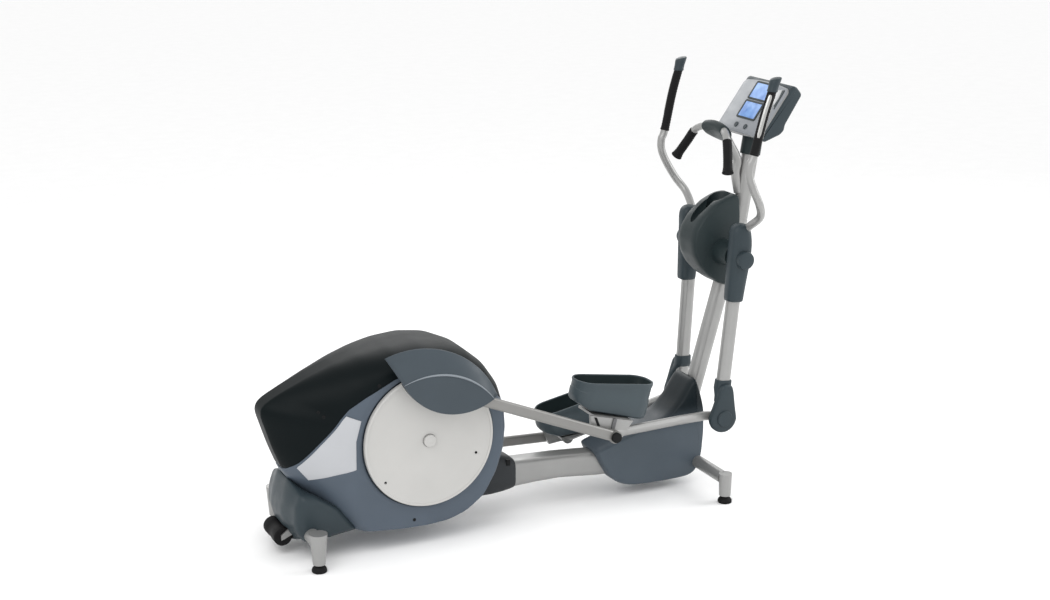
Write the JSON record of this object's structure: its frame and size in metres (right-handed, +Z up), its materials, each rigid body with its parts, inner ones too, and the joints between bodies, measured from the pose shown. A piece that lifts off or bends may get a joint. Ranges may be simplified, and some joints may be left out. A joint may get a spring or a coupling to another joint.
{
  "type": "elliptical trainer",
  "caption": "Rear-drive elliptical trainer: cupped pedals on bent links between crank wheels and swing arms with long handles, a leaning mast, a fixed handlebar and a console.",
  "frame": {"origin": "on the floor, at the middle of the overall length and width", "axes": "+X forward from the crank wheels to the console, +Y to the left of a user who faces the console, +Z up"},
  "size_m": [2.246, 0.704, 1.7311],
  "materials": {
    "silver_paint": "satin silver powder coat",
    "slate_plastic": "satin slate blue moulding",
    "dark_plastic": "satin dark green moulding",
    "pale_plastic": "warm white satin moulding",
    "black_rubber": "matt rubber",
    "black_plastic": "satin",
    "bright_steel": "machined",
    "iron": "cast and turned",
    "bronze": "plain bearing bronze",
    "screen": "blue lit screen"
  },
  "bodies": {
    "base": {"main_beam": "silver_paint", "rear_cross_leg": "silver_paint", "front_cross_leg": "silver_paint", "right_side_shell": "slate_plastic", "left_side_shell": "slate_plastic", "top_shell": "dark_plastic", "rear_boot": "slate_plastic", "beam_socket_cover": "dark_plastic", "accent_panels": "pale_plastic", "shell_screws": "black_plastic", "crank_carrier": "bright_steel", "brake_yoke": "black_plastic", "drive_belt": "black_rubber", "mast": "silver_paint", "mast_shroud": "dark_plastic", "mast_neck_cover": "dark_plastic", "pivot_axle": "bright_steel", "right_front_shroud": "slate_plastic", "left_front_shroud": "slate_plastic", "handlebar": "silver_paint", "handlebar_grips": "black_rubber", "handlebar_hood": "dark_plastic", "console_housing": "slate_plastic", "console_face": "pale_plastic", "console_screens": "screen"},
    "right_arm": {"right_arm_tube": "silver_paint", "right_upper_sleeve": "slate_plastic", "right_lower_sleeve": "slate_plastic", "right_handle": "silver_paint", "right_grip": "black_rubber", "right_grip_cap": "slate_plastic"},
    "right_bush": {"right_link_bush": "bronze"},
    "right_link": {"right_rear_link": "silver_paint", "right_front_link": "silver_paint", "right_link_shroud": "slate_plastic", "right_pedal": "slate_plastic"},
    "left_arm": {"left_arm_tube": "silver_paint", "left_upper_sleeve": "slate_plastic", "left_lower_sleeve": "slate_plastic", "left_handle": "silver_paint", "left_grip": "black_rubber", "left_grip_cap": "slate_plastic"},
    "left_bush": {"left_link_bush": "bronze"},
    "left_link": {"left_rear_link": "silver_paint", "left_front_link": "silver_paint", "left_link_shroud": "slate_plastic", "left_pedal": "slate_plastic"},
    "crank": {"crankshaft": "bright_steel", "drive_pulley": "bright_steel", "right_crank_wheel": "pale_plastic", "left_crank_wheel": "pale_plastic"},
    "flywheel_body": {"flywheel": "iron"},
    "idler_body": {"idler_wheel": "black_plastic"},
    "roller_body": {"transport_roller": "black_rubber"},
    "rear_right_foot_body": {"rear_right_foot": "black_rubber"},
    "rear_left_foot_body": {"rear_left_foot": "black_rubber"},
    "front_right_foot_body": {"front_right_foot": "black_rubber"},
    "front_left_foot_body": {"front_left_foot": "black_rubber"},
    "start_key_body": {"start_key": "slate_plastic"},
    "stop_key_body": {"stop_key": "slate_plastic"}
  },
  "joints": [
    {"name": "right_arm_swing", "type": "hinge", "parent": "base", "child": "right_arm", "pos_m": [0.838, -0.195, 0.988], "axis": [0, 1, 0], "range_deg": [-20, 20]},
    {"name": "right_bush_turn", "type": "hinge", "parent": "right_arm", "child": "right_bush", "pos_m": [0.77023, -0.212, 0.32948], "axis": [0, 1, 0], "range_deg": [-20, 20]},
    {"name": "right_link_pitch", "type": "hinge", "parent": "right_bush", "child": "right_link", "pos_m": [0.77023, -0.212, 0.32948], "axis": [0, 1, 0], "range_deg": [-19.9, 0]},
    {"name": "left_arm_swing", "type": "hinge", "parent": "base", "child": "left_arm", "pos_m": [0.838, 0.195, 0.988], "axis": [0, 1, 0], "range_deg": [-20, 20]},
    {"name": "left_bush_turn", "type": "hinge", "parent": "left_arm", "child": "left_bush", "pos_m": [0.80454, 0.212, 0.32685], "axis": [0, 1, 0], "range_deg": [-20, 20]},
    {"name": "left_link_pitch", "type": "hinge", "parent": "left_bush", "child": "left_link", "pos_m": [0.80454, 0.212, 0.32685], "axis": [0, 1, 0], "range_deg": [0, 19.9]},
    {"name": "crank_spin", "type": "hinge", "parent": "base", "child": "crank", "pos_m": [-0.517, 0, 0.426], "axis": [0, 1, 0], "continuous": true},
    {"name": "flywheel_spin", "type": "hinge", "parent": "base", "child": "flywheel_body", "pos_m": [-0.797, 0, 0.37], "axis": [0, 1, 0], "continuous": true},
    {"name": "idler_spin", "type": "hinge", "parent": "base", "child": "idler_body", "pos_m": [-0.68383, 0.115, 0.28268], "axis": [0, 1, 0], "continuous": true},
    {"name": "roller_spin", "type": "hinge", "parent": "base", "child": "roller_body", "pos_m": [-1.057, 0, 0.074], "axis": [0, 1, 0], "continuous": true},
    {"name": "rear_right_foot_turn", "type": "hinge", "parent": "base", "child": "rear_right_foot_body", "pos_m": [-0.983, -0.268, 0.05], "axis": [0, 0, 1], "continuous": true},
    {"name": "rear_left_foot_turn", "type": "hinge", "parent": "base", "child": "rear_left_foot_body", "pos_m": [-0.983, 0.268, 0.05], "axis": [0, 0, 1], "continuous": true},
    {"name": "front_right_foot_turn", "type": "hinge", "parent": "base", "child": "front_right_foot_body", "pos_m": [0.738, -0.304, 0.05], "axis": [0, 0, 1], "continuous": true},
    {"name": "front_left_foot_turn", "type": "hinge", "parent": "base", "child": "front_left_foot_body", "pos_m": [0.738, 0.304, 0.05], "axis": [0, 0, 1], "continuous": true},
    {"name": "start_key_press", "type": "slide", "parent": "base", "child": "start_key_body", "axis": [0.8131, 0, -0.5821], "range_m": [0, 0.0012], "stiffness_N_per_m": 600},
    {"name": "stop_key_press", "type": "slide", "parent": "base", "child": "stop_key_body", "axis": [0.8131, 0, -0.5821], "range_m": [0, 0.0012], "stiffness_N_per_m": 600}
  ],
  "couplings": [
    {"joint": "left_arm_swing", "follows": "right_arm_swing", "ratio": -1},
    {"joint": "right_bush_turn", "follows": "right_arm_swing", "ratio": -1},
    {"joint": "left_bush_turn", "follows": "right_arm_swing", "ratio": 1},
    {"joint": "left_link_pitch", "follows": "right_link_pitch", "ratio": -1},
    {"joint": "flywheel_spin", "follows": "crank_spin", "ratio": 4.6875},
    {"joint": "idler_spin", "follows": "crank_spin", "ratio": -6.25}
  ]
}
